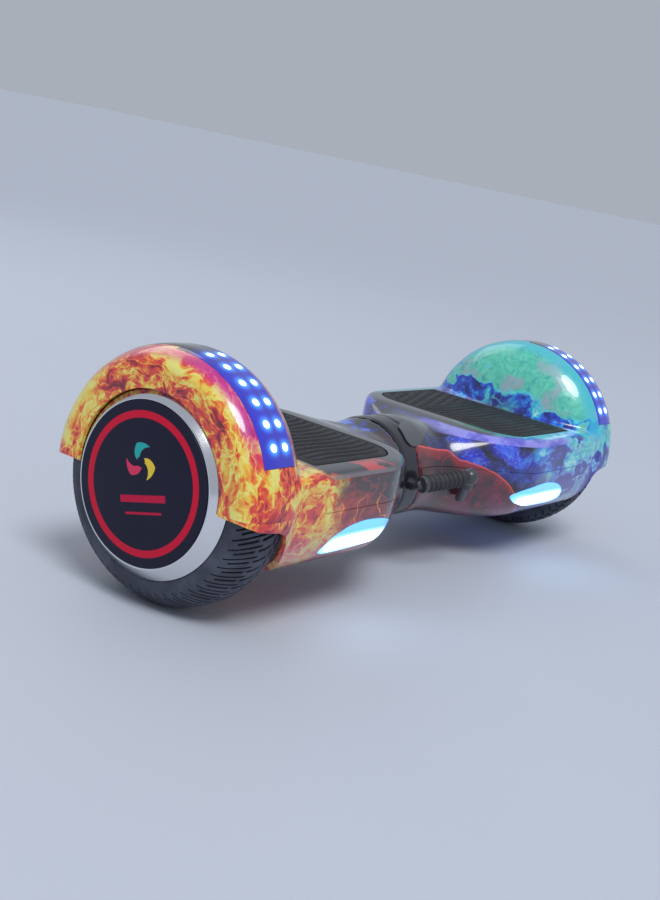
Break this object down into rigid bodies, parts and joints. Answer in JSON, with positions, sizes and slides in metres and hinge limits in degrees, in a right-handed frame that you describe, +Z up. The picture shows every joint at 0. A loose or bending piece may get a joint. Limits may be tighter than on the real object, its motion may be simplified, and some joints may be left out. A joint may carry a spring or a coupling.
{
  "type": "self-balancing scooter board",
  "caption": "Two-wheeled self-balancing standing board with ribbed foot pads, wheel arches with light strips, a centre pivot and a carrying handle.",
  "frame": {"origin": "on the floor under the middle of the board, midway between the wheels", "axes": "+X along the board towards the right wheel, -Y is the front, +Z is up"},
  "size_m": [0.582, 0.188, 0.182],
  "materials": {
    "left_casing": "glossy printed",
    "right_casing": "glossy printed",
    "cast_frame": "cast",
    "pad_rubber": "ribbed matte",
    "circuit_board": "satin",
    "light_strip": "translucent glossy",
    "lamp": "lit",
    "headlight": "lit frosted",
    "steel": "machined",
    "dark_steel": "black oxide",
    "copper": "enamelled wire",
    "black_rubber": "matte",
    "tyre": "matte",
    "chrome_rim": "polished",
    "face_plate": "satin print",
    "bush": "moulded",
    "collar": "glossy",
    "panel": "glossy",
    "battery_wrap": "shrink wrap",
    "black_plastic": "moulded",
    "button_metal": "brushed",
    "handle_plastic": "moulded"
  },
  "bodies": {
    "left_half": {"left_upper_shell": "left_casing", "left_lower_shell": "left_casing", "left_wheel_arch": "left_casing", "left_frame": "cast_frame", "left_gyro_board": "circuit_board", "left_light_strip": "light_strip", "left_strip_lamps": "lamp", "left_headlight_lens": "headlight", "left_headlight_board": "lamp", "left_axle": "steel", "left_axle_clamp": "cast_frame", "left_clamp_screws": "dark_steel", "left_shell_screws": "dark_steel", "left_stator": "steel", "left_windings": "copper", "left_motor_lead": "black_rubber", "pivot_tube": "steel", "pivot_clips": "dark_steel", "main_board": "circuit_board"},
    "left_wheel": {"left_tyre": "tyre", "left_rotor": "cast_frame", "left_magnets": "steel", "left_bearings": "steel", "left_rim_cover": "chrome_rim", "left_face_plate": "face_plate"},
    "left_pad": {"left_footpad": "pad_rubber"},
    "right_half": {"right_upper_shell": "right_casing", "right_lower_shell": "right_casing", "right_wheel_arch": "right_casing", "right_frame": "cast_frame", "right_gyro_board": "circuit_board", "right_light_strip": "light_strip", "right_strip_lamps": "lamp", "right_headlight_lens": "headlight", "right_headlight_board": "lamp", "right_axle": "steel", "right_axle_clamp": "cast_frame", "right_clamp_screws": "dark_steel", "right_shell_screws": "dark_steel", "right_stator": "steel", "right_windings": "copper", "right_motor_lead": "black_rubber", "pivot_bushes": "bush", "centre_collar": "collar", "indicator_panel": "panel", "battery_pack": "battery_wrap", "speaker": "black_plastic", "power_switch": "black_plastic", "charge_port": "button_metal", "handle_frame": "handle_plastic", "handle_grip": "black_rubber"},
    "right_wheel": {"right_tyre": "tyre", "right_rotor": "cast_frame", "right_magnets": "steel", "right_bearings": "steel", "right_rim_cover": "chrome_rim", "right_face_plate": "face_plate"},
    "right_pad": {"right_footpad": "pad_rubber"},
    "button": {"power_button": "button_metal"},
    "cap": {"port_cap": "black_rubber"}
  },
  "joints": [
    {"name": "centre_pivot", "type": "hinge", "parent": "left_half", "child": "right_half", "pos_m": [0, 0, 0.076], "axis": [1, 0, 0], "range_deg": [-12, 12]},
    {"name": "left_wheel_spin", "type": "hinge", "parent": "left_half", "child": "left_wheel", "pos_m": [-0.26, 0, 0.088], "axis": [1, 0, 0], "continuous": true},
    {"name": "right_wheel_spin", "type": "hinge", "parent": "right_half", "child": "right_wheel", "pos_m": [0.26, 0, 0.088], "axis": [1, 0, 0], "continuous": true},
    {"name": "left_pad_press", "type": "slide", "parent": "left_half", "child": "left_pad", "axis": [0, 0, -1], "range_m": [0, 0.0015], "stiffness_N_per_m": 8000},
    {"name": "right_pad_press", "type": "slide", "parent": "right_half", "child": "right_pad", "axis": [0, 0, -1], "range_m": [0, 0.0015], "stiffness_N_per_m": 8000},
    {"name": "power_button_press", "type": "slide", "parent": "right_half", "child": "button", "axis": [0, -1, 0], "range_m": [0, 0.001], "stiffness_N_per_m": 300},
    {"name": "port_cap_hinge", "type": "hinge", "parent": "right_half", "child": "cap", "pos_m": [0.15, 0.0909, 0.0634], "axis": [-1, 0, 0], "range_deg": [0, 110]}
  ]
}
